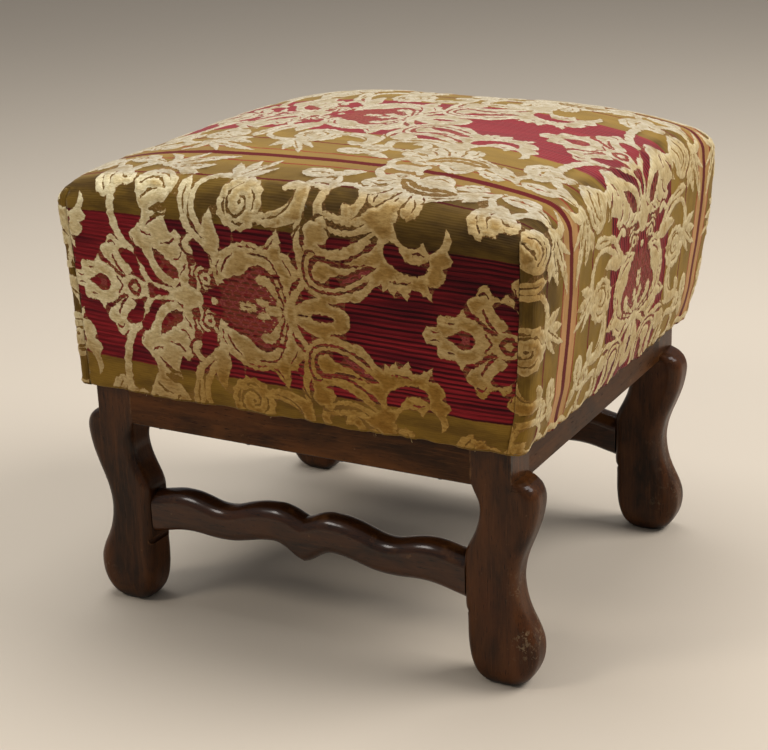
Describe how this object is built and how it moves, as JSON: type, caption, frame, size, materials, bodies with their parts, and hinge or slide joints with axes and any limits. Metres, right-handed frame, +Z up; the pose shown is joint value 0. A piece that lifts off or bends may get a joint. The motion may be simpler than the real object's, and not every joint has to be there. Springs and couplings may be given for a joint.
{
  "type": "footstool",
  "caption": "Square upholstered footstool with a tall domed cut-velvet seat on a dark wood frame with shaped bone legs and wavy front and back stretchers.",
  "frame": {"origin": "on the floor, under the middle of the stool", "axes": "+Z up; +X to the right along the front rail as seen from the front; +Y from the front to the back"},
  "size_m": [0.4858, 0.4442, 0.463],
  "materials": {
    "stained_wood": "dark brown stain, waxed, semi-gloss",
    "raw_wood": "unfinished",
    "screw_steel": "plain steel",
    "tack_steel": "blued steel",
    "spring_steel": "coppered spring wire",
    "jute_webbing": "woven jute",
    "hessian": "coarse plain weave",
    "stuffing": "curled hair and fibre",
    "wadding": "cotton felt",
    "cut_velvet": "striped cut velvet, crimson and olive ground with raised cream pile",
    "bottom_cloth": "thin black cotton"
  },
  "bodies": {
    "root": {"coil_spring_1": "spring_steel", "coil_spring_2": "spring_steel", "coil_spring_3": "spring_steel", "coil_spring_4": "spring_steel", "coil_spring_5": "spring_steel", "corner_block_back_left": "raw_wood", "corner_block_back_right": "raw_wood", "corner_block_front_left": "raw_wood", "corner_block_front_right": "raw_wood", "corner_block_screws": "screw_steel", "cover_tacks": "tack_steel", "dust_cover": "bottom_cloth", "dust_cover_tacks": "tack_steel", "leg_back_left": "stained_wood", "leg_back_right": "stained_wood", "leg_front_left": "stained_wood", "leg_front_right": "stained_wood", "rail_back": "stained_wood", "rail_front": "stained_wood", "rail_left": "stained_wood", "rail_right": "stained_wood", "seat_cover": "cut_velvet", "spring_canvas": "hessian", "stretcher_back": "stained_wood", "stretcher_front": "stained_wood", "stuffing_pad": "stuffing", "wadding": "wadding", "webbing_across_1": "jute_webbing", "webbing_across_2": "jute_webbing", "webbing_across_3": "jute_webbing", "webbing_along_1": "jute_webbing", "webbing_along_2": "jute_webbing", "webbing_along_3": "jute_webbing", "webbing_tacks": "tack_steel"}
  },
  "joints": []
}
